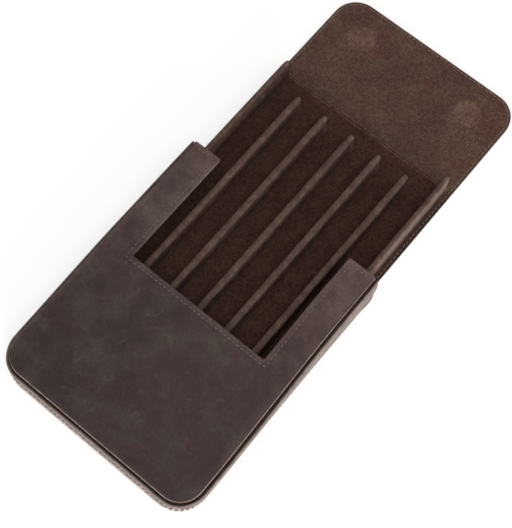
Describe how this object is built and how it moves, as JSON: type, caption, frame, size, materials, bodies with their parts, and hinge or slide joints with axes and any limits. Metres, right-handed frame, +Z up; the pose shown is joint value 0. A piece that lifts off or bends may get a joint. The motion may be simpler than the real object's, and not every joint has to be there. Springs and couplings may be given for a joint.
{
  "type": "pen case",
  "caption": "Leather pen case: a sleeve with a thumb notch, a slide-out tray with parallel slots between leather ridges, and a magnetic flap that folds over the mouth.",
  "frame": {"origin": "on the underside of the back panel, on the middle line, at the sleeve's mouth", "axes": "+Z up from the surface that the case lies on, +Y out of the mouth to the flap's free edge, +X to the right"},
  "size_m": [0.14, 0.32, 0.026],
  "materials": {
    "outer_leather": "oiled pull-up leather, satin",
    "gusset_leather": "oiled pull-up leather, satin",
    "lining_leather": "matte brown, fine grain",
    "tray_leather": "matte brown",
    "suede": "brown suede",
    "thread": "waxed polyester thread",
    "magnet_steel": "nickel-plated",
    "board": "grey fibreboard"
  },
  "bodies": {
    "case": {"back_lining": "lining_leather", "back_skin": "outer_leather", "front_lining": "lining_leather", "front_magnet_left": "magnet_steel", "front_magnet_right": "magnet_steel", "front_seam": "thread", "front_skin": "outer_leather", "front_stitching": "thread", "gusset": "gusset_leather", "rim_stitching": "thread"},
    "tray": {"divider_1": "tray_leather", "divider_2": "tray_leather", "divider_3": "tray_leather", "divider_4": "tray_leather", "divider_5": "tray_leather", "divider_core_1": "board", "divider_core_2": "board", "divider_core_3": "board", "divider_core_4": "board", "divider_core_5": "board", "tray_base_board": "board", "tray_cover": "tray_leather", "tray_floor_lining": "suede", "tray_wall_board": "board", "tray_wall_wrap": "tray_leather"},
    "flap_spine": {"spine_skin": "outer_leather", "spine_lining": "lining_leather", "spine_stitching": "thread"},
    "flap_lid": {"flap_root_skin": "outer_leather", "flap_root_lining": "lining_leather", "flap_root_stitching": "thread", "flap_skin": "outer_leather", "flap_lining": "lining_leather", "flap_stitching": "thread", "flap_magnet_left": "magnet_steel", "flap_magnet_right": "magnet_steel"}
  },
  "joints": [
    {"name": "tray_slide", "type": "slide", "parent": "case", "child": "tray", "axis": [0, 1, 0], "range_m": [-0.078, 0.09]},
    {"name": "flap_fold_back", "type": "hinge", "parent": "case", "child": "flap_spine", "pos_m": [0, 0.006, 0.004], "axis": [-1, 0, 0], "range_deg": [-90, 0], "deforming": ["spine_skin", "spine_lining", "spine_stitching"]},
    {"name": "flap_fold_front", "type": "hinge", "parent": "flap_spine", "child": "flap_lid", "pos_m": [0, 0.0273, 0.004], "axis": [-1, 0, 0], "range_deg": [-90, 0], "deforming": ["flap_root_skin", "flap_root_lining", "flap_root_stitching"]}
  ],
  "couplings": [
    {"joint": "flap_fold_front", "follows": "flap_fold_back", "ratio": 1}
  ]
}
